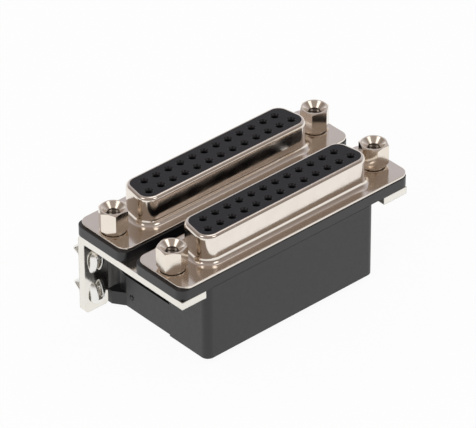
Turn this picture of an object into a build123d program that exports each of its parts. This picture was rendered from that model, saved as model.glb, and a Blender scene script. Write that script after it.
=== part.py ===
# Two-port right-angle D-sub connector, 25 sockets over 25 sockets, for a circuit board.
# It lies on its back as in the photograph: +Z is the way a plug comes off, X runs along the
# ports, and the circuit board stands on the +Y side. Millimetres. The origin is the middle of
# the footprint, at the height of the surface that the connector lies on.
# Port A is the port away from the board, port B the one next to it.

from build123d import *
import os
from math import cos, radians, tan

os.makedirs("parts", exist_ok=True)

# Ports
port_spacing = 15.4
contact_pitch = 2.77
row_gap = 2.84
wide_row_count = 13
narrow_row_count = 12
screw_spacing = 47.04

# Drawn steel front shells
sheet = 0.5
flange_end = 3.0
flange_width = 12.5
flange_corner = 2.0
hood_width = 38.38
hood_breadth = 7.9
hood_height = 5.55
hood_corner = 2.6
side_taper = 10
shoulder = 0.7
root_bevel = 0.65

# Moulded insulators
insulator_flange = 2.05
insulator_margin = 0.15
insulator_shift = -0.35
insulator_corner = 1.7
shell_clearance = 0.05
funnel_mouth = 1.65
funnel_throat = 1.05
funnel_depth = 0.4
funnel_sides = 8
cavity_width = 1.35

# Socket contacts, folded into a square box round the pin
box_clearance = 0.05
box_sheet = 0.1
box_length = 6.2
box_floor = 1.2
tail_width = 0.6
tail_thickness = 0.4
first_tail_row = 11.6
tail_row_step = 2.84
tail_reach = 3.4
tail_clearance = 0.15

# Rear housings
housing_left = 21.4
housing_right = 17.9
housing_depth = 22.95
housing_a_back = 3.4
housing_corner = 1.4
housing_step = 0.15
housing_joint = 0.05
ledge_depth = 16.4
ledge_inset = 0.6
foot_start = 15.1
foot_depth = 20.1
foot_flare = 1.5
neck_inset = 0.5
foot_run = 2.2
foot_end = 18.3
gate_mark_width = 1.1
gate_mark_sink = 0.15
gate_mark_back = 13.6
gate_mark_depth = 20.3

# Brackets
bracket_sheet = 1.45
bracket_width = 5.4
bracket_offset = -0.65
bracket_depth = 24.35
board_distance = 21.1
bend_inside = 0.4
bend_outside = 0.9
bracket_corner = 0.9
screw_hole = 3.2

# Jackscrews and clinch nuts
screw_major = 2.845
screw_minor = 2.2
hex_across = 4.8
hex_height = 4.5
hex_end_width = 4.75
hex_chamfer_angle = 30
countersink_width = 4.2
countersink_angle = 100
tapped_depth = 4.0
stud_past_nut = 0.4
nut_width = 4.1
nut_height = 1.2
thread_clearance = 0.05

# Board locks
lock_sheet = 0.4
lock_first = 13.5
lock_spacing = 7.9
lock_bow = 1.3
lock_bow_width = 3.2
lock_bow_rise = 1.6
lock_bow_fall = 3.8
lock_bow_slope = 0.6
lock_shoulder = 0.5
lock_crown = 1.4
lock_loop_gap = 0.9
lock_loop_round = 0.5
lock_bridge = 0.9
lock_neck_width = 1.4
lock_neck_height = 2.6
lock_neck_past_board = 0.9
lock_barb_rise = 0.35
lock_barb_run = 0.6
lock_reach = 4.0
lock_tip_drop = 0.3
lock_tip_height = 0.3
lock_hole_clearance = 0.15

# Sizes and places that follow
flange_length = screw_spacing + 2 * flange_end
overall_y = flange_width / 2 + insulator_margin + board_distance + lock_reach
y_front = -overall_y / 2
y_port_a = y_front + insulator_margin + flange_width / 2
y_port_b = y_port_a + port_spacing
y_board = y_port_a + board_distance
y_leg = y_board - bracket_sheet
z_face = bracket_depth
z_flange = z_face - hood_height
z_insulator = z_flange - sheet
z_bracket = z_insulator - insulator_flange
z_bracket_under = z_bracket - bracket_sheet
z_box = z_face - funnel_depth - box_clearance
box_width = cavity_width - 2 * box_clearance
z_housing = z_face - housing_depth
z_ledge = z_face - ledge_depth
z_foot = z_face - foot_depth
screw_x = screw_spacing / 2
ports = (("port_a", y_port_a), ("port_b", y_port_b))
ends = (("left", -1), ("right", 1))

# The four rows of contacts from the deepest tail up: name, y of the row and number of sockets, and
# in the second list the height of its tails too
row_plan = (
    ("port_a_wide_row_contacts", y_port_a - row_gap / 2, wide_row_count),
    ("port_a_narrow_row_contacts", y_port_a + row_gap / 2, narrow_row_count),
    ("port_b_wide_row_contacts", y_port_b - row_gap / 2, wide_row_count),
    ("port_b_narrow_row_contacts", y_port_b + row_gap / 2, narrow_row_count),
)
z_last_tail = z_face - first_tail_row - (len(row_plan) - 1) * tail_row_step
rows = [(*row, z_last_tail + i * tail_row_step) for i, row in enumerate(row_plan)]


# The D section, its wide side toward -Y, drawn in by an inset from the outside of the hood
def d_section(inset):
    half_breadth = hood_breadth / 2
    half_corner = radians((90 - side_taper) / 2)
    wide_half = hood_width / 2 + hood_corner * (1 / tan(half_corner) - 1)
    narrow_half = wide_half - hood_breadth * tan(radians(side_taper))
    with BuildSketch(mode=Mode.PRIVATE) as section:
        with BuildLine():
            Polyline(
                (-wide_half, -half_breadth),
                (wide_half, -half_breadth),
                (narrow_half, half_breadth),
                (-narrow_half, half_breadth),
                close=True,
            )
        make_face()
        fillet(section.vertices(), hood_corner)
        if inset > 0:
            offset(amount=-inset, mode=Mode.REPLACE)
    return section.sketch


# A contact tail seen from the side: down from its box, round one bend and out past the board,
# with spare room all round it for the slot that it stands in
def tail_side(y_row, z_tail, spare):
    half = tail_thickness / 2 + spare
    z_top = z_box - box_length
    y_tip = y_board + tail_reach + spare
    with BuildSketch(Plane.YZ, mode=Mode.PRIVATE) as side:
        with BuildLine():
            Polyline(
                (y_row - half, z_top),
                (y_row - half, z_tail - half),
                (y_tip, z_tail - half),
                (y_tip, z_tail + half),
                (y_row + half, z_tail + half),
                (y_row + half, z_top),
                close=True,
            )
        make_face()
    return side.sketch


# Half the length of the slot for a row of tails
def half_slot(count):
    return (count - 1) * contact_pitch / 2 + tail_width / 2 + tail_clearance


# Front shells: a thin flange with a hood drawn up from it. The sweep at the hood's root and the
# edge drawn in over the insulator are bevels
for port, y_port in ports:
    with BuildPart() as front_shell:
        with BuildSketch(Plane.XY.offset(z_insulator)):
            with Locations((0, y_port)):
                RectangleRounded(flange_length, flange_width, flange_corner)
        extrude(amount=sheet)
        with BuildSketch(Plane.XY.offset(z_insulator)):
            with Locations((0, y_port)):
                add(d_section(0))
        extrude(amount=sheet + hood_height)
        top_edge = front_shell.edges().group_by(Axis.Z)[-1]
        chamfer(top_edge, shoulder)
        flange_top = front_shell.faces().filter_by(Plane.XY).group_by(Axis.Z)[1][0]
        chamfer(flange_top.inner_wires().edges(), root_bevel)
        with BuildSketch(Plane.XY.offset(z_insulator)):
            with Locations((0, y_port)):
                add(d_section(sheet))
        extrude(amount=hood_height, mode=Mode.SUBTRACT)
        with BuildSketch(Plane.XY.offset(z_insulator)):
            with Locations((0, y_port)):
                add(d_section(shoulder))
        extrude(amount=sheet + hood_height, mode=Mode.SUBTRACT)
        with Locations((-screw_x, y_port, z_flange), (screw_x, y_port, z_flange)):
            Hole(screw_hole / 2, depth=sheet)
    front_shell.part.label = f"{port}_front_shell"
    export_step(front_shell.part, f"parts/{port}_front_shell.step")

# The funnel over a socket, its mouth at height 0 and straight above that
with BuildPart() as funnel:
    with BuildSketch(Plane.XY.offset(-funnel_depth)):
        RegularPolygon(funnel_mouth / 2, funnel_sides, False, rotation=180 / funnel_sides)
    extrude(amount=2 * funnel_depth)
    funnel_floor = funnel.faces().sort_by(Axis.Z)[0]
    funnel_step = (funnel_mouth - funnel_throat) / 2
    chamfer(funnel_floor.edges(), funnel_step, funnel_depth, reference=funnel_floor)

# Insulators: a thick flange and a D block under the shell's drawn-in edge, with a funnel over
# each socket and a square cavity under it for the contact
for port, y_port in ports:
    with BuildPart() as insulator:
        with BuildSketch(Plane.XY.offset(z_bracket)):
            with Locations((insulator_shift, y_port)):
                RectangleRounded(
                    flange_length + 2 * insulator_margin,
                    flange_width + 2 * insulator_margin,
                    insulator_corner,
                )
        extrude(amount=insulator_flange)
        with BuildSketch(Plane.XY.offset(z_insulator)):
            with Locations((0, y_port)):
                add(d_section(shoulder + shell_clearance))
        extrude(amount=sheet + hood_height)
        with Locations((-screw_x, y_port, z_insulator), (screw_x, y_port, z_insulator)):
            Hole(screw_hole / 2, depth=insulator_flange)
        for name, y_row, count, z_tail in rows:
            if name.startswith(port):
                with BuildSketch(Plane.XY.offset(z_bracket)):
                    with Locations((0, y_row)):
                        with GridLocations(contact_pitch, 1, count, 1):
                            Rectangle(cavity_width, cavity_width)
                extrude(amount=z_face - funnel_depth - z_bracket, mode=Mode.SUBTRACT)
                with Locations((0, y_row, z_face)):
                    with GridLocations(contact_pitch, 1, count, 1):
                        add(funnel.part, mode=Mode.SUBTRACT)
    insulator.part.label = f"{port}_insulator"
    export_step(insulator.part, f"parts/{port}_insulator.step")

# Socket contacts: a box in the insulator, open at the top, and a tail bent out to the board
for name, y_row, count, z_tail in rows:
    with BuildPart() as contacts:
        with BuildSketch(Plane.XY.offset(z_box)):
            with Locations((0, y_row)):
                with GridLocations(contact_pitch, 1, count, 1):
                    Rectangle(box_width, box_width)
        extrude(amount=-box_length)
        with BuildSketch(Plane.XY.offset(z_box)):
            with Locations((0, y_row)):
                with GridLocations(contact_pitch, 1, count, 1):
                    Rectangle(box_width - 2 * box_sheet, box_width - 2 * box_sheet)
        extrude(amount=box_floor - box_length, mode=Mode.SUBTRACT)
        tail = extrude(tail_side(y_row, z_tail, 0), amount=tail_width / 2, both=True, mode=Mode.PRIVATE)
        with GridLocations(contact_pitch, 1, count, 1):
            add(tail)
    contacts.part.label = name
    export_step(contacts.part, f"parts/{name}.step")

# Rear housing under port A: a plain box with rounded upright edges and a slot for each row of tails
with BuildPart() as port_a_housing:
    with BuildSketch(Plane.XY.offset(z_housing)):
        with BuildLine():
            Polyline(
                (-housing_left, y_front),
                (housing_right, y_front),
                (housing_right, y_port_a + housing_a_back),
                (-housing_left, y_port_a + housing_a_back),
                close=True,
            )
        make_face()
    extrude(amount=z_bracket - z_housing)
    front_uprights = port_a_housing.edges().filter_by(Axis.Z).group_by(Axis.Y)[0]
    fillet(front_uprights, housing_corner)
    for name, y_row, count, z_tail in rows:
        if name.startswith("port_a"):
            slot_side = tail_side(y_row, z_tail, tail_clearance)
            extrude(slot_side, amount=half_slot(count), both=True, mode=Mode.SUBTRACT)
port_a_housing.part.label = "port_a_rear_housing"
export_step(port_a_housing.part, "parts/port_a_rear_housing.step")

# Rear housing under port B: set back a little from the other, drawn in above a ledge and
# above its feet, which flare out in front of the bracket legs
b_left = housing_left - housing_step
b_right = housing_right - housing_step
y_b_front = y_port_a + housing_a_back + housing_joint
y_foot = y_port_a + foot_start
y_foot_end = y_port_a + foot_end
z_b = z_housing + housing_step
with BuildPart() as port_b_housing:
    with BuildSketch(Plane.XY.offset(z_b)):
        with BuildLine():
            Polyline(
                (-b_left, y_b_front),
                (b_right, y_b_front),
                (b_right, y_foot),
                (b_right + foot_flare, y_foot + foot_run),
                (b_right + foot_flare, y_foot_end),
                (b_right - neck_inset, y_foot_end),
                (b_right - neck_inset, y_board),
                (-b_left + neck_inset, y_board),
                (-b_left + neck_inset, y_foot_end),
                (-b_left - foot_flare, y_foot_end),
                (-b_left - foot_flare, y_foot + foot_run),
                (-b_left, y_foot),
                close=True,
            )
        make_face()
    extrude(amount=z_foot - z_b)
    with BuildSketch(Plane.XY.offset(z_foot)):
        with BuildLine():
            Polyline(
                (-b_left, y_b_front),
                (b_right, y_b_front),
                (b_right, y_foot),
                (b_right - neck_inset, y_foot + foot_run),
                (b_right - neck_inset, y_board),
                (-b_left + neck_inset, y_board),
                (-b_left + neck_inset, y_foot + foot_run),
                (-b_left, y_foot),
                close=True,
            )
        make_face()
    extrude(amount=z_ledge - z_foot)
    with BuildSketch(Plane.XY.offset(z_ledge)):
        with BuildLine():
            Polyline(
                (-b_left + ledge_inset, y_b_front),
                (b_right - ledge_inset, y_b_front),
                (b_right - ledge_inset, y_board),
                (-b_left + ledge_inset, y_board),
                close=True,
            )
        make_face()
    extrude(amount=z_bracket - z_ledge)
    with BuildSketch(Plane.YZ.offset(-b_left)):
        with Locations((y_port_a + gate_mark_back, z_face - gate_mark_depth)):
            Circle(gate_mark_width / 2)
    extrude(amount=gate_mark_sink, mode=Mode.SUBTRACT)
    for name, y_row, count, z_tail in rows:
        slot_side = tail_side(y_row, z_tail, tail_clearance)
        extrude(slot_side, amount=half_slot(count), both=True, mode=Mode.SUBTRACT)
port_b_housing.part.label = "port_b_rear_housing"
export_step(port_b_housing.part, "parts/port_b_rear_housing.step")

# Brackets: the same folded strip at both ends, a plate under the flanges and a leg down the
# board side, with screw holes in the plate and lock holes in the leg
lock_heights = (z_face - lock_first, z_face - lock_first - lock_spacing)
for end, side in ends:
    x_bracket = side * screw_x + bracket_offset
    with BuildPart() as bracket:
        with BuildSketch(Plane.YZ.offset(x_bracket - bracket_width / 2)):
            with BuildLine():
                FilletPolyline(
                    (y_front, z_bracket),
                    (y_board, z_bracket),
                    (y_board, 0),
                    (y_leg, 0),
                    (y_leg, z_bracket_under),
                    (y_front, z_bracket_under),
                    radius=(0, bend_outside, 0, 0, bend_inside, 0),
                    close=True,
                )
            make_face()
        extrude(amount=bracket_width)
        foot_corners = bracket.edges().filter_by(Axis.Y).group_by(Axis.Z)[0]
        fillet(foot_corners, bracket_corner)
        with Locations((side * screw_x, y_port_a, z_bracket), (side * screw_x, y_port_b, z_bracket)):
            Hole(screw_hole / 2, depth=bracket_sheet)
        with BuildSketch(Plane.XZ.offset(-y_board)):
            with Locations([(x_bracket, height) for height in lock_heights]):
                Rectangle(
                    lock_neck_width + 2 * lock_hole_clearance,
                    lock_neck_height + 2 * lock_hole_clearance,
                )
        extrude(amount=bracket_sheet, mode=Mode.SUBTRACT)
    bracket.part.label = f"{end}_bracket"
    export_step(bracket.part, f"parts/{end}_bracket.step")

# Board locks: a strip bent into a bow that sits on the inside of the leg, its ends going through
# the leg and meeting in one barbed point past the board. The bow is slit into two round-ended
# loops under a round crown, which is on top in the upper locks and below in the lower ones
y_neck = y_board + lock_neck_past_board
y_barb = y_neck + lock_barb_run
y_tip = y_board + lock_reach
neck_half = lock_neck_height / 2
for end, side in ends:
    x_lock = side * screw_x + bracket_offset
    for level, way, z_lock in (("upper", 1, lock_heights[0]), ("lower", -1, lock_heights[1])):
        z_crown = z_lock + way * lock_bow_rise
        z_loop_end = z_lock - way * lock_bow_fall
        z_tip = z_lock - lock_tip_drop
        with BuildPart() as lock:
            with BuildSketch(Plane.YZ.offset(x_lock)):
                with BuildLine():
                    Polyline(
                        (y_leg - lock_bow, z_crown - way * lock_bow_slope),
                        (y_leg - lock_shoulder, z_crown),
                        (y_leg, z_crown),
                        (y_leg, z_lock + way * neck_half),
                        (y_neck, z_lock + way * neck_half),
                        (y_barb, z_lock + way * (neck_half + lock_barb_rise)),
                        (y_tip, z_tip + way * lock_tip_height / 2),
                        (y_tip, z_tip - way * lock_tip_height / 2),
                        (y_barb, z_lock - way * (neck_half + lock_barb_rise)),
                        (y_neck, z_lock - way * neck_half),
                        (y_leg, z_lock - way * neck_half),
                        (y_leg, z_loop_end),
                        (y_leg - lock_shoulder, z_loop_end),
                        (y_leg - lock_bow, z_loop_end + way * lock_bow_slope),
                        close=True,
                    )
                make_face()
                offset(amount=-lock_sheet, kind=Kind.INTERSECTION, mode=Mode.SUBTRACT)
            extrude(amount=lock_bow_width / 2, both=True)
            with BuildSketch(Plane.XZ.offset(-y_tip)):
                with Locations((x_lock, (z_crown + z_loop_end) / 2)):
                    Rectangle(lock_bow_width, lock_bow_rise + lock_bow_fall)
                    Rectangle(lock_neck_width, lock_bow_rise + lock_bow_fall, mode=Mode.SUBTRACT)
            extrude(amount=y_tip - y_leg, mode=Mode.SUBTRACT)
            with BuildSketch(Plane.XZ.offset(-y_tip)) as face_outline:
                with Locations((x_lock, (z_crown + z_loop_end) / 2)):
                    Rectangle(lock_bow_width, lock_bow_rise + lock_bow_fall)
                lower_corners, upper_corners = face_outline.vertices().group_by(Axis.Y)
                fillet(upper_corners, lock_crown if way > 0 else lock_loop_round)
                fillet(lower_corners, lock_loop_round if way > 0 else lock_crown)
            extrude(amount=y_tip - y_leg + lock_bow, mode=Mode.INTERSECT)
            with BuildSketch(Plane.XZ.offset(-y_leg)):
                with Locations((x_lock, z_crown - way * lock_bridge)):
                    Rectangle(
                        lock_loop_gap,
                        lock_bow_rise + lock_bow_fall,
                        align=(Align.CENTER, Align.MAX if way > 0 else Align.MIN),
                    )
            extrude(amount=lock_bow, mode=Mode.SUBTRACT)
        lock.part.label = f"{end}_{level}_board_lock"
        export_step(lock.part, f"parts/{end}_{level}_board_lock.step")

# Jackscrews: a hexagon with a turned top, countersunk and bored for the plug's screw, and a
# threaded stud that goes down into the clinch nut
z_screw_top = z_flange + hex_height
z_stud_end = z_bracket_under - nut_height - stud_past_nut
hex_turns = {
    ("port_a", "left"): 23,
    ("port_a", "right"): 2,
    ("port_b", "left"): -1,
    ("port_b", "right"): 39,
}
corner_rise = (hex_across / cos(radians(30)) - hex_end_width) / 2 * tan(radians(hex_chamfer_angle))
for port, y_port in ports:
    for end, side in ends:
        axis_plane = Plane((side * screw_x, y_port, 0))
        with BuildPart(axis_plane) as jackscrew:
            with BuildSketch(axis_plane.offset(z_flange)):
                RegularPolygon(hex_across / 2, 6, major_radius=False, rotation=hex_turns[port, end])
            extrude(amount=hex_height)
            with BuildSketch(Plane((side * screw_x, y_port, 0), x_dir=(1, 0, 0), z_dir=(0, -1, 0))):
                with BuildLine():
                    Polyline(
                        (0, z_flange),
                        (hex_across / cos(radians(30)) / 2, z_flange),
                        (hex_across / cos(radians(30)) / 2, z_screw_top - corner_rise),
                        (hex_end_width / 2, z_screw_top),
                        (0, z_screw_top),
                        close=True,
                    )
                make_face()
            revolve(axis=Axis((side * screw_x, y_port, 0), (0, 0, 1)), mode=Mode.INTERSECT)
            with BuildSketch(axis_plane.offset(z_flange)):
                Circle(screw_major / 2)
            extrude(amount=z_stud_end - z_flange)
            with Locations((0, 0, z_screw_top)):
                CounterSinkHole(
                    screw_minor / 2,
                    countersink_width / 2,
                    depth=tapped_depth,
                    counter_sink_angle=countersink_angle,
                )
        jackscrew.part.label = f"{port}_{end}_jackscrew"
        export_step(jackscrew.part, f"parts/{port}_{end}_jackscrew.step")

# Clinch nuts: six-sided nuts pressed into the underside of the brackets
for port, y_port in ports:
    for end, side in ends:
        with BuildPart() as nut:
            with BuildSketch(Plane.XY.offset(z_bracket_under)):
                with Locations((side * screw_x, y_port)):
                    RegularPolygon(nut_width / 2, 6, major_radius=False, rotation=30)
                    Circle(screw_major / 2 + thread_clearance, mode=Mode.SUBTRACT)
            extrude(amount=-nut_height)
        nut.part.label = f"{port}_{end}_clinch_nut"
        export_step(nut.part, f"parts/{port}_{end}_clinch_nut.step")
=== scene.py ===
# %% [markdown]
# # Dressing a two-port D-sub connector
# The solids come ready made from the CAD model: shells, insulators, housings, brackets and
# screws, all at their real size. This notebook gives them light, a camera and their finishes.
# Some pieces are drawn again with a finer skin, because the solids are kept light: the drawn
# steel shells, the insulators with their sockets, the jackscrews with their threads and the board
# locks.
# Lengths below are written in millimetres and turned to metres where a mesh is made.

# %% Load the solids and remember their box
from math import atan2, cos, pi, radians, sin, tan

import bpy
from mathutils import Matrix, Vector
from mathutils.geometry import tessellate_polygon


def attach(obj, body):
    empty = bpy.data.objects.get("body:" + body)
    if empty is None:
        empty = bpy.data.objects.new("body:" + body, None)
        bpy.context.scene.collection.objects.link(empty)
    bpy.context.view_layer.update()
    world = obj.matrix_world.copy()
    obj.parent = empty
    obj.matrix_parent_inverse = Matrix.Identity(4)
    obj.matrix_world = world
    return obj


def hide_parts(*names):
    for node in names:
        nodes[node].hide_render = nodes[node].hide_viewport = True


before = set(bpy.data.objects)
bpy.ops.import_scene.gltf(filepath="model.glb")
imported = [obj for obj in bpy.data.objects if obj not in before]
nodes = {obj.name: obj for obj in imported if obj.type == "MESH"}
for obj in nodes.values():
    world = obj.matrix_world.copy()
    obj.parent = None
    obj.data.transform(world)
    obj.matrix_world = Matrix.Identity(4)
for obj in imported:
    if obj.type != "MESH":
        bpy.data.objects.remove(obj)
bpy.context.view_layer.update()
MM = 0.001

# %% [markdown]
# ## The camera
# The photograph was taken from a long way off: the uprights hardly converge. So the lens is long,
# and the camera stands three quarters of a metre away, to the left of the front and 35 degrees up.
# Its place is written as a distance, two angles, a small roll and where it aims, and the matrix
# is built from those, which is easier to check against a photograph than a rotation.

# %% Stand the camera where the photographer stood
CAMERA_LEFT = 41.63
CAMERA_UP = 34.73
CAMERA_ROLL = -0.24
CAMERA_DISTANCE = 762.0
FOCAL_PIXELS = 4413.0
PICTURE_WIDTH = 476
PICTURE_HEIGHT = 428
TARGET_PIXEL = (274.57, 188.28)
TARGET_POINT = Vector((0, -9.35, 24.35))


def view_axes(left, up, roll):
    back = Vector((-sin(left) * cos(up), -cos(left) * cos(up), sin(up)))
    right = Vector((0, 0, 1)).cross(back).normalized()
    top = back.cross(right)
    return cos(roll) * right + sin(roll) * top, cos(roll) * top - sin(roll) * right, back


right, top, back = view_axes(radians(CAMERA_LEFT), radians(CAMERA_UP), radians(CAMERA_ROLL))
aside = (TARGET_PIXEL[0] - PICTURE_WIDTH / 2) / FOCAL_PIXELS * CAMERA_DISTANCE
above = (PICTURE_HEIGHT / 2 - TARGET_PIXEL[1]) / FOCAL_PIXELS * CAMERA_DISTANCE
camera = bpy.data.objects.new("camera", bpy.data.cameras.new("camera"))
bpy.context.scene.collection.objects.link(camera)
camera.data.sensor_width = 36
camera.data.lens = FOCAL_PIXELS / PICTURE_WIDTH * camera.data.sensor_width
place = TARGET_POINT - aside * right - above * top + CAMERA_DISTANCE * back
camera.matrix_world = Matrix.Translation(place * MM) @ Matrix((right, top, back)).transposed().to_4x4()
camera.data.clip_start = 0.05
camera.data.clip_end = 20
bpy.context.scene.camera = camera
print("lens", round(camera.data.lens, 1), "mm, camera at", [round(v) for v in place], "mm")

# %% [markdown]
# ## Small tools
# A colour on a screen is written as sRGB hex, but a renderer adds up light, so every colour goes
# through one function that makes it linear. A second function adds a shader node, sets what it is
# given and links what it is given, so that a material reads as a short list.

# %% Colours and nodes
def linear(hex_colour):
    values = [int(hex_colour[i : i + 2], 16) / 255 for i in (1, 3, 5)]
    return tuple(v / 12.92 if v <= 0.04045 else ((v + 0.055) / 1.055) ** 2.4 for v in values) + (1.0,)


def add_node(tree, kind, inputs=None, **settings):
    node = tree.nodes.new(kind)
    for key, value in settings.items():
        setattr(node, key, value)
    for key, value in (inputs or {}).items():
        if isinstance(value, bpy.types.NodeSocket):
            tree.links.new(value, node.inputs[key])
        else:
            node.inputs[key].default_value = value
    return node


def new_material(name):
    material = bpy.data.materials.new(name)
    material.use_nodes = True
    material.node_tree.nodes.clear()
    return material, material.node_tree


print("mid grey #808080 is", [round(v, 3) for v in linear("#808080")[:3]], "in light")


# %% [markdown]
# ## The studio
# Bright nickel shows what stands round it more than its own colour. The photographer put the
# connector on a white sweep: everything level with it or lower mirrors white. Overhead the room is
# a warm, dim grey, brighter behind the connector than in front, and that gives the flanges their
# pinkish grey and the drawn edges their brown lines. Three soft panels hang high on the left, on
# the right and behind. They make the glints on round corners and in the mouths of the sockets.
# Each part of the room fades into the next over a range of the mirrored direction.

# %% A white sweep and three panels in a dim warm room
WHITE = (1.0, 1.0, 1.0, 1.0)
ROOM_BEHIND = (0.57, 0.55, 0.58, 1.0)
ROOM_IN_FRONT = (0.265, 0.225, 0.2, 1.0)
ROOM_OVERHEAD = (0.40, 0.35, 0.33, 1.0)
PANELS = {"left": (166, 53), "right": (-68, 50), "behind": (30, 64)}
PANEL_LIGHT = (1.7, 1.65, 1.6, 1.0)
PANEL_HALF_ANGLE = 9
PANEL_SOFT_EDGE = 5
WAY_BACK = (0.77, 0.64, 0.0)
BACK_FADE = (0.22, 0.70)
TOP_FADE = (0.6, 0.98)
SWEEP_FADE = (0.10, 0.34)
SOFT_WHITE = (0.95, 0.95, 0.95, 1.0)
SOFT_STRENGTH = 0.72


def aim(turn, up):
    level = cos(radians(up))
    return Vector((cos(radians(turn)) * level, sin(radians(turn)) * level, sin(radians(up))))


world = bpy.data.worlds.new("studio")
bpy.context.scene.world = world
world.use_nodes = True
tree = world.node_tree
tree.nodes.clear()
direction = add_node(tree, "ShaderNodeTexCoord").outputs["Generated"]
part = add_node(tree, "ShaderNodeSeparateXYZ", {"Vector": direction})
behind = add_node(
    tree, "ShaderNodeVectorMath", {0: direction, 1: WAY_BACK}, operation="DOT_PRODUCT"
)
to_back = add_node(
    tree,
    "ShaderNodeMapRange",
    {"Value": behind.outputs["Value"], "From Min": BACK_FADE[0], "From Max": BACK_FADE[1]},
    clamp=True,
)
round_room = add_node(
    tree,
    "ShaderNodeMix",
    {"Factor": to_back.outputs["Result"], 6: ROOM_IN_FRONT, 7: ROOM_BEHIND},
    data_type="RGBA",
)
to_top = add_node(
    tree,
    "ShaderNodeMapRange",
    {"Value": part.outputs["Z"], "From Min": TOP_FADE[0], "From Max": TOP_FADE[1]},
    clamp=True,
)
room = add_node(
    tree,
    "ShaderNodeMix",
    {"Factor": to_top.outputs["Result"], 6: round_room.outputs[2], 7: ROOM_OVERHEAD},
    data_type="RGBA",
)
for turn, up in PANELS.values():
    nearness = add_node(
        tree, "ShaderNodeVectorMath", {0: direction, 1: aim(turn, up)}, operation="DOT_PRODUCT"
    )
    lit = add_node(
        tree,
        "ShaderNodeMapRange",
        {
            "Value": nearness.outputs["Value"],
            "From Min": cos(radians(PANEL_HALF_ANGLE + PANEL_SOFT_EDGE)),
            "From Max": cos(radians(PANEL_HALF_ANGLE)),
        },
        clamp=True,
    )
    room = add_node(
        tree,
        "ShaderNodeMix",
        {"Factor": lit.outputs["Result"], 6: room.outputs[2], 7: PANEL_LIGHT},
        data_type="RGBA",
    )
to_sweep = add_node(
    tree,
    "ShaderNodeMapRange",
    {"Value": part.outputs["Z"], "From Min": SWEEP_FADE[0], "From Max": SWEEP_FADE[1]},
    clamp=True,
)
room = add_node(
    tree,
    "ShaderNodeMix",
    {"Factor": to_sweep.outputs["Result"], 6: WHITE, 7: room.outputs[2]},
    data_type="RGBA",
)
path = add_node(tree, "ShaderNodeLightPath")
soft_light = add_node(
    tree, "ShaderNodeBackground", {"Color": SOFT_WHITE, "Strength": SOFT_STRENGTH}
)
mirrored = add_node(tree, "ShaderNodeBackground", {"Color": room.outputs[2], "Strength": 1.0})
seen = add_node(tree, "ShaderNodeBackground", {"Color": WHITE, "Strength": 1.0})
glossy = add_node(
    tree,
    "ShaderNodeMixShader",
    {0: path.outputs["Is Glossy Ray"], 1: soft_light.outputs[0], 2: mirrored.outputs[0]},
)
through = add_node(
    tree,
    "ShaderNodeMixShader",
    {0: path.outputs["Is Transmission Ray"], 1: glossy.outputs[0], 2: seen.outputs[0]},
)
final = add_node(
    tree,
    "ShaderNodeMixShader",
    {0: path.outputs["Is Camera Ray"], 1: through.outputs[0], 2: seen.outputs[0]},
)
add_node(tree, "ShaderNodeOutputWorld", {"Surface": final.outputs[0]})
print("world nodes:", len(tree.nodes))

# %% [markdown]
# The floor is the sweep itself. It is nearly white, it keeps a faint shadow where the connector
# stands, and a polished face that looks down at it sees white. A big soft lamp high on the left
# gives the shadow and the plastic faces a direction.

# %% Floor and lamp
PAPER = (0.92, 0.92, 0.92, 1.0)
GLOW_SHARE = 0.94
FLOOR_HALF = 1.5
LAMP_SIZE = 0.5
LAMP_WATTS = 1.6
LAMP_PLACE = (-0.62, -0.22, 0.55)
LAMP_AIM = Vector((0, 0, 0.01))

sweep, tree = new_material("white_paper_sweep")
paper = add_node(tree, "ShaderNodeBsdfDiffuse", {"Color": PAPER})
glow = add_node(tree, "ShaderNodeEmission", {"Color": WHITE, "Strength": 1.0})
path = add_node(tree, "ShaderNodeLightPath")
watched = add_node(
    tree,
    "ShaderNodeMath",
    {0: path.outputs["Is Camera Ray"], 1: path.outputs["Is Glossy Ray"]},
    operation="MAXIMUM",
)
share = add_node(tree, "ShaderNodeMath", {0: watched.outputs[0], 1: GLOW_SHARE}, operation="MULTIPLY")
mixed = add_node(
    tree, "ShaderNodeMixShader", {0: share.outputs[0], 1: paper.outputs[0], 2: glow.outputs[0]}
)
add_node(tree, "ShaderNodeOutputMaterial", {"Surface": mixed.outputs[0]})

corners = ((-1, -1), (1, -1), (1, 1), (-1, 1))
floor_mesh = bpy.data.meshes.new("sweep")
floor_mesh.from_pydata([(x * FLOOR_HALF, y * FLOOR_HALF, 0) for x, y in corners], [], [(0, 1, 2, 3)])
floor_mesh.materials.append(sweep)
sweep_floor = bpy.data.objects.new("sweep", floor_mesh)
bpy.context.scene.collection.objects.link(sweep_floor)

lamp = bpy.data.objects.new("soft_lamp", bpy.data.lights.new("soft_lamp", "AREA"))
lamp.data.shape = "DISK"
lamp.data.size = LAMP_SIZE
lamp.data.energy = LAMP_WATTS
lamp.location = LAMP_PLACE
lamp.rotation_mode = "QUATERNION"
lamp.rotation_quaternion = (LAMP_AIM - lamp.location).to_track_quat("-Z", "Y")
lamp.visible_glossy = False
bpy.context.scene.collection.objects.link(lamp)
bpy.context.scene.view_settings.view_transform = "Standard"
print("lamp", lamp.data.energy, "W,", lamp.data.size, "m across")

# %% [markdown]
# ## One recipe for plated metal and moulded plastic
# Both kinds of surface need the same four things: two close tones in soft patches, a roughness that
# follows the patches, a very fine relief, and edges that aren't razor sharp. The patches and the
# relief come from noise in the object's own coordinates, so their size is a real size. What is the
# same all over, such as the metallic value or the IOR, is set straight on the shader. Noise seldom
# leaves the range from 0.3 to 0.7, so the roughness runs over that range alone.

# %% A patchy surface with fine relief
NOISE_RANGE = (0.3, 0.7)
PATCH_DETAIL = 4.0
GRAIN_DETAIL = 2.0


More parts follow.
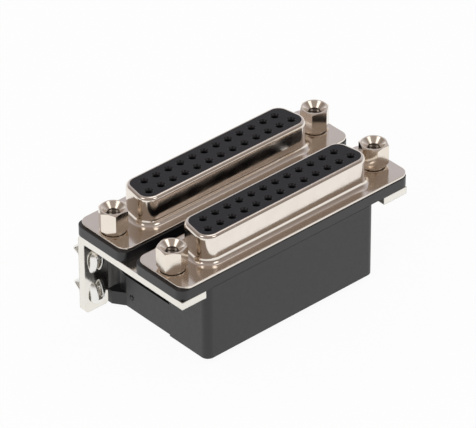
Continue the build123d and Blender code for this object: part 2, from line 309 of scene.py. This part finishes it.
def patchy_surface(name, tones, roughness, patch_mm, grain_mm, grain_depth_mm, rounding_mm=0.0, **fixed):
    material, tree = new_material(name)
    here = add_node(tree, "ShaderNodeTexCoord").outputs["Object"]
    patches = add_node(
        tree,
        "ShaderNodeTexNoise",
        {"Vector": here, "Scale": 1 / (patch_mm * MM), "Detail": PATCH_DETAIL},
    )
    tone = add_node(
        tree,
        "ShaderNodeMix",
        {"Factor": patches.outputs["Fac"], 6: linear(tones[0]), 7: linear(tones[1])},
        data_type="RGBA",
    )
    rough = add_node(
        tree,
        "ShaderNodeMapRange",
        {
            "Value": patches.outputs["Fac"],
            "From Min": NOISE_RANGE[0],
            "From Max": NOISE_RANGE[1],
            "To Min": roughness[0],
            "To Max": roughness[1],
        },
    )
    grain = add_node(
        tree,
        "ShaderNodeTexNoise",
        {"Vector": here, "Scale": 1 / (grain_mm * MM), "Detail": GRAIN_DETAIL},
    )
    relief = {"Height": grain.outputs["Fac"], "Distance": grain_depth_mm * MM, "Strength": 1.0}
    if rounding_mm > 0:
        edge = add_node(tree, "ShaderNodeBevel", {"Radius": rounding_mm * MM}, samples=6)
        relief["Normal"] = edge.outputs["Normal"]
    bump = add_node(tree, "ShaderNodeBump", relief)
    inputs = {
        "Base Color": tone.outputs[2],
        "Roughness": rough.outputs["Result"],
        "Normal": bump.outputs["Normal"],
    }
    inputs.update({key.replace("_", " "): value for key, value in fixed.items()})
    surface = add_node(tree, "ShaderNodeBsdfPrincipled", inputs)
    add_node(tree, "ShaderNodeOutputMaterial", {"Surface": surface.outputs[0]})
    return material


print("recipe ready")

# %% [markdown]
# ## Bright nickel on drawn and turned steel
# The shells are deep-drawn from sheet and nickel plated. Nickel is a warm, slightly yellow white
# metal. Drawing leaves the sheet faintly uneven over a millimetre or two, so mirrored edges waver.
# The jackscrews are turned from bar. Their faces are truer, but the tool's marks, far finer than
# can be drawn, blur what they mirror a little more. The thread inside one is painted a darker,
# greyer steel, which is painted shade that keeps the bore dark, and it reads as dark rings.

# %% Nickel
# Drawn sheet: a soft warm mirror, a little blurred where the sheet was stretched.
nickel_shell = patchy_surface(
    "nickel_plated_drawn_steel",
    ("#F0E8DF", "#E7DED4"),
    (0.09, 0.17),
    patch_mm=2.5,
    grain_mm=1.6,
    grain_depth_mm=0.005,
    Metallic=1.0,
)
# Turned bar: a flat warm mirror, slightly blurred by the tool's marks.
nickel_screw = patchy_surface(
    "nickel_plated_turned_steel",
    ("#F2E9DD", "#EADFD2"),
    (0.12, 0.22),
    patch_mm=2.5,
    grain_mm=1.2,
    grain_depth_mm=0.002,
    Metallic=1.0,
)
# Tapped thread: greyer and duller, a painted shade that keeps the bore dark.
thread_painted_dark = patchy_surface(
    "tapped_steel_painted_dark",
    ("#8C837A", "#6E665F"),
    (0.16, 0.28),
    patch_mm=1.0,
    grain_mm=0.6,
    grain_depth_mm=0.004,
    Metallic=1.0,
)
# Pressed nuts under the bracket, plated in bulk: satin.
nickel_nut = patchy_surface(
    "nickel_plated_pressed_steel",
    ("#E6DCCF", "#D9CDBF"),
    (0.15, 0.28),
    patch_mm=2.5,
    grain_mm=1.2,
    grain_depth_mm=0.004,
    rounding_mm=0.05,
    Metallic=1.0,
)
print("nickel finishes:", [m.name for m in (nickel_shell, nickel_screw, thread_painted_dark, nickel_nut)])

# %% [markdown]
# ## Bright tin on stamped steel
# Brackets and board locks are soldered or stand near solder, so they are tin plated. Tin is whiter
# than nickel and a little milky. Stamping turns the edges over, so they get a rounding of a quarter
# of a millimetre, which draws the soft line along the bracket plate.

# %% Tin
# Stamped sheet: a white, slightly milky mirror with soft edges.
tin_bracket = patchy_surface(
    "tin_plated_stamped_steel",
    ("#F0EDE6", "#E6E2DA"),
    (0.08, 0.17),
    patch_mm=2.5,
    grain_mm=2.0,
    grain_depth_mm=0.006,
    rounding_mm=0.28,
    Metallic=1.0,
)
# Spring strip: bent after plating, so the tin is duller and the glints are broader.
tin_lock = patchy_surface(
    "tin_plated_spring_strip",
    ("#F4F3F0", "#E9E8E4"),
    (0.20, 0.32),
    patch_mm=1.5,
    grain_mm=1.0,
    grain_depth_mm=0.006,
    Metallic=1.0,
)
print("tin finishes:", tin_bracket.name, tin_lock.name)

# %% [markdown]
# ## Contacts, gold in the socket and tin on the tail
# A contact strip is plated twice: a flash of gold where the pin slides, and tin where it is
# soldered. The line between them lies inside the insulator's flange, out of sight. One height,
# read from the object's own coordinates, chooses the metal, over a short step as dipping leaves it.

# %% Gold flash and tinned tails
PLATING_LINE = 17.0
PLATING_STEP = 0.4
WEAR_MM = 0.8
ROLLED_DEPTH_MM = 0.003
contact_metal, tree = new_material("gold_flashed_tinned_contact")
here = add_node(tree, "ShaderNodeTexCoord").outputs["Object"]
height = add_node(tree, "ShaderNodeSeparateXYZ", {"Vector": here}).outputs["Z"]
gilded = add_node(
    tree,
    "ShaderNodeMapRange",
    {"Value": height, "From Min": PLATING_LINE * MM, "From Max": (PLATING_LINE + PLATING_STEP) * MM},
    clamp=True,
)
metal = add_node(
    tree,
    "ShaderNodeMix",
    {"Factor": gilded.outputs["Result"], 6: linear("#E3E0DA"), 7: linear("#D9B878")},
    data_type="RGBA",
)
wear = add_node(
    tree, "ShaderNodeTexNoise", {"Vector": here, "Scale": 1 / (WEAR_MM * MM), "Detail": 3.0}
)
rough = add_node(tree, "ShaderNodeMapRange", {"Value": wear.outputs["Fac"], "To Min": 0.18, "To Max": 0.36})
rolled = add_node(
    tree, "ShaderNodeBump", {"Height": wear.outputs["Fac"], "Distance": ROLLED_DEPTH_MM * MM}
)
surface = add_node(
    tree,
    "ShaderNodeBsdfPrincipled",
    {
        "Base Color": metal.outputs[2],
        "Metallic": 1.0,
        "Roughness": rough.outputs["Result"],
        "Normal": rolled.outputs["Normal"],
    },
)
add_node(tree, "ShaderNodeOutputMaterial", {"Surface": surface.outputs[0]})
print("plating changes at", PLATING_LINE, "mm")

# %% [markdown]
# ## Black moulded polyester
# The insulators and housings are moulded from black glass-filled polyester. It is very dark, and
# most of what the eye sees on it is the sheen of the white surroundings, so the grey of its sides
# comes from the gloss and not from the colour. Glass fibre near the skin mottles it over most of a
# millimetre, and its grain is drawn a quarter of a millimetre wide so that it still shows.

# %% Polyester
# Insulator: a satin skin, greyer where it faces the bright sweep.
insulator_black = patchy_surface(
    "black_polyester_insulator",
    ("#131215", "#19181B"),
    (0.29, 0.39),
    patch_mm=0.8,
    grain_mm=0.25,
    grain_depth_mm=0.002,
    IOR=1.58,
    Specular_IOR_Level=0.5,
)
# Mating face: a smoother skin that mirrors the dim room overhead, and a darker colour with a weaker sheen
# than the sides, painted shade so that the top looks blacker.
mating_face_painted_darker = patchy_surface(
    "black_polyester_mating_face_painted_darker",
    ("#0F0E11", "#1A191C"),
    (0.15, 0.27),
    patch_mm=0.8,
    grain_mm=0.25,
    grain_depth_mm=0.002,
    IOR=1.5,
    Specular_IOR_Level=0.34,
)
# Housing: the same plastic with a slightly coarser skin and edges rounded in the mould.
housing_black = patchy_surface(
    "black_polyester_housing",
    ("#131315", "#1A1A1C"),
    (0.35, 0.45),
    patch_mm=0.8,
    grain_mm=0.25,
    grain_depth_mm=0.002,
    rounding_mm=0.06,
    IOR=1.58,
    Specular_IOR_Level=0.5,
)
print("plastics:", [m.name for m in (insulator_black, mating_face_painted_darker, housing_black)])

# %% [markdown]
# Every solid that keeps its CAD shape now takes its finish.

# %% Finish the solids
finishes = {
    "front_shell": nickel_shell,
    "insulator": insulator_black,
    "contacts": contact_metal,
    "rear_housing": housing_black,
    "bracket": tin_bracket,
    "board_lock": tin_lock,
    "jackscrew": nickel_screw,
    "clinch_nut": nickel_nut,
}
for name, node in nodes.items():
    finish = next(m for key, m in finishes.items() if name.endswith(key))
    node.data.materials.clear()
    node.data.materials.append(finish)
print("finished:", len(nodes), "nodes")

# %% [markdown]
# ## Building skins from rings
# The shells, insulators and screws are all stacks of closed outlines. Two outlines with the same
# number of points are joined by a band of quads, and a flat face with holes is filled by
# triangles. One small class collects the points and faces and turns them into a piece.

# %% A skin made of rings
class Skin:
    def __init__(self):
        self.points = []
        self.faces = []

    def ring(self, outline, height):
        first = len(self.points)
        heights = height if isinstance(height, list) else [height] * len(outline)
        self.points += [(x, y, z) for (x, y), z in zip(outline, heights)]
        return first, len(outline)

    def loop(self, points):
        first = len(self.points)
        self.points += [tuple(p) for p in points]
        return first, len(points)

    def cap(self, ring, backwards=False):
        first, count = ring
        order = range(first, first + count)
        self.faces.append(tuple(reversed(order)) if backwards else tuple(order))

    def band(self, lower, upper):
        first, count = lower
        second = upper[0]
        for i in range(count):
            j = (i + 1) % count
            self.faces.append((first + i, first + j, second + j, second + i))

    def fill(self, rings, upwards=True):
        loops = [
            [Vector((*self.points[first + i][:2], 0)) for i in range(count)] for first, count in rings
        ]
        where = [first + i for first, count in rings for i in range(count)]
        for a, b, c in tessellate_polygon(loops):
            p, q, r = (Vector(self.points[where[k]]) for k in (a, b, c))
            up = (q - p).cross(r - p).z > 0
            order = (a, b, c) if up == upwards else (a, c, b)
            self.faces.append(tuple(where[k] for k in order))

    def piece(self, name, material, replaced=None, sharp=35, inside=None, inside_from=0):
        mesh = bpy.data.meshes.new(name)
        mesh.from_pydata([tuple(v * MM for v in p) for p in self.points], [], self.faces)
        mesh.validate()
        mesh.materials.append(material)
        if inside:
            mesh.materials.append(inside)
            for polygon in mesh.polygons[inside_from:]:
                polygon.material_index = 1
        mesh.shade_smooth()
        mesh.set_sharp_from_angle(angle=radians(sharp))
        made = bpy.data.objects.new(name, mesh)
        bpy.context.scene.collection.objects.link(made)
        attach(made, "root")
        if replaced:
            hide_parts(replaced)
        print(name, len(mesh.polygons), "faces")


def arc(centre, radius, start, end, steps):
    return [
        (centre[0] + radius * cos(radians(start + (end - start) * i / steps)),
         centre[1] + radius * sin(radians(start + (end - start) * i / steps)))
        for i in range(steps + 1)
    ]


def circle(centre, radius, steps):
    turns = [2 * pi * i / steps for i in range(steps)]
    return [(centre[0] + radius * cos(turn), centre[1] + radius * sin(turn)) for turn in turns]


def rounded_rectangle(centre, length, width, corner, inset=0.0, steps=8):
    x = length / 2 - corner
    y = width / 2 - corner
    outline = []
    for (sx, sy), start in zip(((1, -1), (1, 1), (-1, 1), (-1, -1)), (-90, 0, 90, 180)):
        outline += arc((centre[0] + sx * x, centre[1] + sy * y), corner - inset, start, start + 90, steps)
    return outline


# %% [markdown]
# ## The D outline
# A D-sub hood is a rectangle whose ends lean in by 10 degrees, with round corners. Drawn in or out
# by some distance, its corners keep their centres and only their radius changes. So one function
# gives the outline at any inset, always with the same number of points, and a band fits between.

# %% The D section at any inset
PORTS = {"port_a": -9.35, "port_b": 6.05}
SCREW_X = 23.52
Z_FACE = 24.35
Z_FLANGE = 18.8
Z_INSULATOR = 18.3
Z_BRACKET = 16.25
HOOD_WIDTH = 38.38
HOOD_BREADTH = 7.9
HOOD_CORNER = 2.6
SIDE_TAPER = 10


def d_outline(y_port, inset, steps=12):
    wide_x = HOOD_WIDTH / 2 - HOOD_CORNER
    y = HOOD_BREADTH / 2 - HOOD_CORNER
    wide_half = (90 - SIDE_TAPER) / 2
    narrow_half = (90 + SIDE_TAPER) / 2
    wide_corner = HOOD_WIDTH / 2 + HOOD_CORNER * (1 / tan(radians(wide_half)) - 1)
    leaning = HOOD_BREADTH * tan(radians(SIDE_TAPER))
    narrow_x = wide_corner - leaning - HOOD_CORNER / tan(radians(narrow_half))
    radius = HOOD_CORNER - inset
    corners = (
        ((wide_x, -y), -90, SIDE_TAPER),
        ((narrow_x, y), SIDE_TAPER, 90),
        ((-narrow_x, y), 90, 180 - SIDE_TAPER),
        ((-wide_x, -y), 180 - SIDE_TAPER, 270),
    )
    outline = []
    for (x, dy), start, end in corners:
        outline += arc((x, y_port + dy), radius, start, end, steps)
    return outline


print("points in a D outline:", len(d_outline(0, 0)))

# %% [markdown]
# ## Drawn steel shells
# The hood is drawn up from the flange in one piece, so it leaves the flange in a soft sweep,
# and its top is rolled in over the insulator. Those two radii catch all the light, and the CAD
# solid has them as bevels. The skin here has arcs that run close to those bevels. Smooth shading
# spreads from a curve onto the flat beside it, so a narrow ring holds each arc's end.

# %% Shell skins with a true root and a rolled top
ROOT_RADIUS = 1.15
SHOULDER = 0.7
SHEET = 0.5
# Length, width and corner radius
FLANGE = (53.04, 12.5, 2.0)
EDGE_ROLL = 0.1
HOLD = 0.03
SCREW_HOLE = 3.2
ARC_STEPS = 8
ROLL_STEPS = 4
ROUND_SIDES = 32

for port, y_port in PORTS.items():
    shell = Skin()
    rings = [shell.ring(d_outline(y_port, -ROOT_RADIUS - HOLD), Z_FLANGE)]
    for i in range(ARC_STEPS + 1):
        turn = radians(90 * i / ARC_STEPS)
        inset = ROOT_RADIUS * (sin(turn) - 1)
        rings.append(shell.ring(d_outline(y_port, inset), Z_FLANGE + ROOT_RADIUS * (1 - cos(turn))))
    rings.append(shell.ring(d_outline(y_port, 0), Z_FLANGE + ROOT_RADIUS + HOLD))
    rings.append(shell.ring(d_outline(y_port, 0), Z_FACE - SHOULDER - HOLD))
    for i in range(ARC_STEPS + 1):
        turn = radians(90 * i / ARC_STEPS)
        inset = SHOULDER * (1 - cos(turn))
        rings.append(shell.ring(d_outline(y_port, inset), Z_FACE - SHOULDER * (1 - sin(turn))))
    rings.append(shell.ring(d_outline(y_port, SHOULDER), Z_FACE - SHEET))
    rings.append(shell.ring(d_outline(y_port, SHEET), Z_FACE - SHEET))
    rings.append(shell.ring(d_outline(y_port, SHEET), Z_INSULATOR))
    for lower, upper in zip(rings, rings[1:]):
        shell.band(lower, upper)
    rim = [shell.ring(rounded_rectangle((0, y_port), *FLANGE, inset=EDGE_ROLL + HOLD), Z_FLANGE)]
    for i in range(ROLL_STEPS + 1):
        turn = radians(90 * i / ROLL_STEPS)
        rim.append(
            shell.ring(
                rounded_rectangle((0, y_port), *FLANGE, inset=EDGE_ROLL * (1 - sin(turn))),
                Z_FLANGE - EDGE_ROLL * (1 - cos(turn)),
            )
        )
    rim.append(shell.ring(rounded_rectangle((0, y_port), *FLANGE), Z_FLANGE - EDGE_ROLL - HOLD))
    rim.append(shell.ring(rounded_rectangle((0, y_port), *FLANGE), Z_INSULATOR))
    for upper, lower in zip(rim, rim[1:]):
        shell.band(lower, upper)
    hole_circles = [circle((x, y_port), SCREW_HOLE / 2, ROUND_SIDES) for x in (-SCREW_X, SCREW_X)]
    holes = [shell.ring(outline, Z_FLANGE) for outline in hole_circles]
    ends = [shell.ring(outline, Z_INSULATOR) for outline in hole_circles]
    for hole, under in zip(holes, ends):
        shell.band(hole, under)
    shell.fill([rim[0], rings[0], *holes])
    shell.fill([rim[-1], rings[-1], *ends], upwards=False)
    shell.piece(f"{port}_drawn_shell", nickel_shell, f"{port}_front_shell")

# %% [markdown]
# ## Insulators and their sockets
# Each insulator is a thick black flange with a D-shaped block that fills the shell. Over each
# contact is a small funnel that guides the pin. Seen from the side the funnels' far walls
# catch light and the bores below stay black, which is what makes the rows of dots read as holes.

# %% Insulator skins with round funnels
PITCH = 2.77
ROW_GAP = 2.84
FUNNEL = ((0.825, 0.0), (0.80, 0.015), (0.62, 0.18), (0.53, 0.28), (0.48, 0.38), (0.47, 5.0))
# Length, width and corner radius
INSULATOR = (53.34, 12.8, 1.7)
INSULATOR_SHIFT = -0.35
MOULDED_EDGE = ((0.09, 0), (0.06, 0), (0.02, 0.02), (0, 0.06), (0, 0.09))
CLEARANCE = 0.05

for port, y_port in PORTS.items():
    block = Skin()
    flange_rings = []
    lower_edge = [(inset, Z_BRACKET + up) for inset, up in MOULDED_EDGE]
    upper_edge = [(inset, Z_INSULATOR - up) for inset, up in reversed(MOULDED_EDGE)]
    for inset, height in lower_edge + upper_edge:
        outline = rounded_rectangle((INSULATOR_SHIFT, y_port), *INSULATOR, inset=inset)
        flange_rings.append(block.ring(outline, height))
    for lower, upper in zip(flange_rings, flange_rings[1:]):
        block.band(lower, upper)
    block.fill([flange_rings[-1]])
    block.fill([flange_rings[0]], upwards=False)
    block.piece(f"{port}_insulator_flange", insulator_black, f"{port}_insulator", sharp=25)
    block = Skin()
    face = block.ring(d_outline(y_port, SHOULDER + CLEARANCE), Z_FACE)
    sides = [
        block.ring(d_outline(y_port, SHEET + CLEARANCE), Z_INSULATOR),
        block.ring(d_outline(y_port, SHEET + CLEARANCE), Z_FACE - SHEET - CLEARANCE),
        block.ring(d_outline(y_port, SHOULDER + CLEARANCE), Z_FACE - SHEET - CLEARANCE),
        face,
    ]
    for lower, upper in zip(sides, sides[1:]):
        block.band(lower, upper)
    block.fill([sides[0]], upwards=False)
    mouths = []
    for count, y_row in ((13, y_port - ROW_GAP / 2), (12, y_port + ROW_GAP / 2)):
        for i in range(count):
            centre = ((i - (count - 1) / 2) * PITCH, y_row)
            funnel = [
                block.ring(circle(centre, radius, ROUND_SIDES), Z_FACE - depth) for radius, depth in FUNNEL
            ]
            for upper, lower in zip(funnel, funnel[1:]):
                block.band(lower, upper)
            block.fill([funnel[-1]])
            mouths.append(funnel[0])
    block.fill([face, *mouths])
    # The mating face takes the darker copy of the insulator's finish, which is painted shade
    block.piece(f"{port}_socket_block", mating_face_painted_darker, sharp=25)

# %% [markdown]
# ## Jackscrews
# A jackscrew is cut from hexagon bar: both ends are turned to a cone, so each flat ends in a
# curved edge, and the top is bored, countersunk and tapped for the plug's screw. The surface
# round the hexagon is the smaller of two radii, that of the flats and that of the cone, and the
# edge where they meet is found for each direction. At its foot the hexagon has a low round collar
# over a narrow seam.

# %% Jackscrew skins with a thread inside
HEX_ACROSS = 4.8
HEX_HEIGHT = 4.5
HEX_END = 4.7
CHAMFER = 30
MOUTH = 4.2
MOUTH_HALF_ANGLE = 50
TAP_MINOR = 2.2
TAP_MAJOR = 2.845
THREAD_PITCH = 0.635
TAPPED_DEPTH = 4.0
STUD_END = 13.2
SEAM_HEIGHT = 0.14
SEAM_DEPTH = 0.3
COLLAR = 0.3
AROUND = 96
THREAD_STEPS = 72
# The thread's rings lie this much lower than the heights they are worked out at
THREAD_DROP = 0.0005


def flat_radius(angle, corner):
    """Distance to the flat at this angle, where corner is the angle of one corner of the hexagon."""
    off = (angle - corner) % (pi / 3) - pi / 6
    return HEX_ACROSS / 2 / cos(off)


def corner_angle(node, x, y):
    """The angle of a corner of the hexagon, read from the solid's own outermost points."""
    points = [(v.co.x / MM - x, v.co.y / MM - y) for v in node.data.vertices]
    far = max(points, key=lambda p: p[0] ** 2 + p[1] ** 2)
    return atan2(far[1], far[0])


def thread_radius(angle, height):
    """A tapped wall: a 60 degree vee that climbs one pitch a turn."""
    phase = (height / THREAD_PITCH - angle / (2 * pi)) % 1.0
    return TAP_MINOR / 2 + (TAP_MAJOR - TAP_MINOR) / 2 * (1 - abs(2 * phase - 1))


def round_screw(axis, angles, radii):
    """Points round a screw's axis, one for each angle, each at its own radius."""
    return [(axis[0] + r * cos(a), axis[1] + r * sin(a)) for r, a in zip(radii, angles)]


Z_TOP = Z_FLANGE + HEX_HEIGHT
CONE_FOOT = TAP_MINOR / 2
CONE_END = Z_TOP - (MOUTH / 2 - CONE_FOOT) / tan(radians(MOUTH_HALF_ANGLE))
for port, y_port in PORTS.items():
    for end, x in (("left", -SCREW_X), ("right", SCREW_X)):
        node_name = f"{port}_{end}_jackscrew"
        corner = corner_angle(nodes[node_name], x, y_port)
        angles = [corner + 2 * pi * i / AROUND for i in range(AROUND)]
        flats = [flat_radius(a, corner) for a in angles]
        drops = [(r - HEX_END / 2) * tan(radians(CHAMFER)) for r in flats]
        axis = (x, y_port)
        flat_outline = round_screw(axis, angles, flats)
        end_circle = round_screw(axis, angles, [HEX_END / 2] * AROUND)
        mouth_circle = round_screw(axis, angles, [MOUTH / 2] * AROUND)
        seam_circle = round_screw(axis, angles, [HEX_END / 2 - SEAM_DEPTH] * AROUND)
        stud_circle = round_screw(axis, angles, [TAP_MAJOR / 2] * AROUND)
        screw = Skin()
        base = screw.ring(seam_circle, Z_FLANGE)
        seam_top = screw.ring(seam_circle, Z_FLANGE + SEAM_HEIGHT)
        collar_foot = screw.ring(end_circle, Z_FLANGE + SEAM_HEIGHT + HOLD)
        collar_top = screw.ring(end_circle, Z_FLANGE + SEAM_HEIGHT + COLLAR)
        low = screw.ring(flat_outline, [Z_FLANGE + SEAM_HEIGHT + COLLAR + d for d in drops])
        high = screw.ring(flat_outline, [Z_TOP - d for d in drops])
        crown = screw.ring(end_circle, Z_TOP)
        mouth = screw.ring(mouth_circle, Z_TOP)
        bore = []
        for i in range(THREAD_STEPS + 1):
            height = CONE_END - (CONE_END - Z_TOP + TAPPED_DEPTH) * i / THREAD_STEPS
            wall = [CONE_FOOT if i == 0 else thread_radius(a, height) for a in angles]
            bore.append(screw.ring(round_screw(axis, angles, wall), height - THREAD_DROP))
        rings = [base, seam_top, collar_foot, collar_top, low, high, crown, mouth, bore[0]]
        for lower, upper in zip(rings, rings[1:]):
            screw.band(lower, upper)
        stud_top = screw.ring(stud_circle, Z_FLANGE)
        stud_end = screw.ring(stud_circle, STUD_END)
        screw.band(stud_end, stud_top)
        screw.fill([stud_end], upwards=False)
        screw.fill([base, stud_top], upwards=False)
        # The bore's faces from here on take the darker thread steel, which is painted shade
        thread_start = len(screw.faces)
        for lower, upper in zip(bore, bore[1:]):
            screw.band(lower, upper)
        screw.fill([bore[-1]])
        screw.piece(
            f"{port}_{end}_hexagon_jackscrew",
            nickel_screw,
            node_name,
            sharp=20,
            inside=thread_painted_dark,
            inside_from=thread_start,
        )

# %% [markdown]
# ## Board locks
# A board lock is one bent spring strip with rolled edges. Its bow swells out from the leg under a
# round crown and splits into two fingers. A narrower loop of the same strip goes through the leg
# and the board to a pointed tip with barbs. Each strip is a flat oval carried along a smooth path,
# given as how far out from the leg and how far down or up each point is.

# %% Bent strips for the four board locks
STRIP = 0.4
Y_LEG = 10.30
LOCK_X = SCREW_X + 0.65
# Which way the crown points and the height of the lock
LOCK_HEIGHTS = {"upper": (1, 10.85), "lower": (-1, 2.95)}
BOW = (
    (0.0, 0.2), (0.45, 0.28), (0.85, 0.72), (1.08, 1.35), (1.08, 2.1), (0.92, 2.9), (0.6, 3.7),
    (0.2, 4.3), (-0.2, 4.5),
)
LOOP = (
    (0.0, 1.1), (2.2, 1.1), (2.6, 1.25), (2.95, 1.45), (3.3, 1.3), (4.9, 0.1), (5.24, -0.3),
    (4.9, -0.6), (3.3, -1.3), (2.95, -1.45), (2.6, -1.25), (2.2, -1.1), (0.0, -1.1),
)
BOW_RISE = 1.6
BOW_HALF_WIDTH = 1.6
CROWN_RADIUS = 1.4
BRIDGE = 0.9
FINGER_IN = 0.45
FINGER_ROUND = 0.57
NECK_HALF_WIDTH = 0.7
DOME = 0.75
OVAL = 20
# Powers under 1 square an oval up: the first across its width, the second through its thickness
OVAL_POWERS = (0.6, 0.7)
# The crown runs on past the bridge and the fingers start before it, so that they join
CROWN_PAST = 0.35
FINGER_BEFORE = 0.3
FINGER_TIP_PAST = 0.2


def smooth_path(points, steps=6):
    """A Catmull-Rom curve through the points."""
    ends = [points[0], *points, points[-1]]
    path = []
    for four in zip(ends, ends[1:], ends[2:], ends[3:]):
        for i in range(steps):
            t = i / steps
            place = []
            for p, q, r, v in zip(*four):
                square = (2 * p - 5 * q + 4 * r - v) * t**2
                cube = (3 * q - p - 3 * r + v) * t**3
                place.append(0.5 * (2 * q + (r - p) * t + square + cube))
            path.append(tuple(place))
    return path + [points[-1]]


def rounded_end(distance, radius):
    """How far a round corner of this radius still cuts in, at a distance from the end."""
    left = max(1 - distance / radius, 0)
    return radius * (1 - (1 - min(left, 1) ** 2) ** 0.5)


def bent_strip(skin, path, centres, halves, domed=None):
    """A flat oval along a path of (y, z), with a middle in x and a half width at each point."""
    rings = []
    for i, (y, z) in enumerate(path):
        before = path[max(i - 1, 0)]
        after = path[min(i + 1, len(path) - 1)]
        along = Vector((after[0] - before[0], after[1] - before[1])).normalized()
        across = Vector((along.y, -along.x))
        points = []
        for k in range(OVAL):
            c = cos(2 * pi * k / OVAL)
            d = sin(2 * pi * k / OVAL)
            wide = halves[i] * abs(c) ** OVAL_POWERS[0] * (1 if c > 0 else -1)
            thick = STRIP / 2 * abs(d) ** OVAL_POWERS[1] * (1 if d > 0 else -1)
            away = (centres[i] + wide - domed) / BOW_HALF_WIDTH if domed is not None else 0
            points.append((centres[i] + wide, y + across.x * thick + DOME * away**2, z + across.y * thick))
        rings.append(skin.loop(points))
    for first, second in zip(rings, rings[1:]):
        skin.band(first, second)
    skin.cap(rings[0], backwards=True)
    skin.cap(rings[-1])


bow = smooth_path(BOW)
for end, side in (("left", -1), ("right", 1)):
    x = side * LOCK_X
    for level, (way, z_lock) in LOCK_HEIGHTS.items():
        lock = Skin()
        z_crown = z_lock + way * BOW_RISE
        crown = [p for p in bow if p[1] < BRIDGE + CROWN_PAST]
        path = [(Y_LEG - out, z_crown - way * down) for out, down in crown]
        halves = [BOW_HALF_WIDTH - rounded_end(down, CROWN_RADIUS) for out, down in crown]
        bent_strip(lock, path, [x] * len(path), halves, domed=x)
        for hand in (-1, 1):
            finger = [p for p in bow if p[1] > BRIDGE - FINGER_BEFORE]
            path = [(Y_LEG - out, z_crown - way * down) for out, down in finger]
            outer = [BOW_HALF_WIDTH - rounded_end(down, CROWN_RADIUS) for out, down in finger]
            tip = bow[-1][1] + FINGER_TIP_PAST
            narrower = [rounded_end(tip - down, FINGER_ROUND) for out, down in finger]
            centres = [x + hand * (FINGER_IN + o) / 2 for o in outer]
            halves = [(o - FINGER_IN) / 2 - n for o, n in zip(outer, narrower)]
            bent_strip(lock, path, centres, halves, domed=x)
        path = [(Y_LEG + out, z_lock + way * rise) for out, rise in smooth_path(LOOP)]
        bent_strip(lock, path, [x] * len(path), [NECK_HALF_WIDTH] * len(path))
        lock.piece(
            f"{end}_{level}_bent_strip",
            tin_lock,
            f"{end}_{level}_board_lock",
            sharp=60,
        )

# %% [markdown]
# ## The moulding gate
# Plastic entered the housing through a small gate in its left wall. The gate is sunk, so that the
# broken sprue never stands proud. What is left of the sprue is a low nub in the round recess.

# %% A nub in the gate's recess
GATE_X = -21.4
GATE_MIDDLE = (4.25, 4.05)
GATE_SINK = 0.15
NUB = ((0.36, 0.0), (0.34, 0.06), (0.26, 0.11), (0.13, 0.135), (0.03, 0.14))

nub = Skin()
loops = []
for radius, rise in NUB:
    outline = circle(GATE_MIDDLE, radius, ROUND_SIDES)
    loops.append(nub.loop([(GATE_X + GATE_SINK - rise, y, z) for y, z in reversed(outline)]))
for lower, upper in zip(loops, loops[1:]):
    nub.band(lower, upper)
nub.cap(loops[0], backwards=True)
nub.cap(loops[-1])
nub.piece("gate_nub", housing_black)
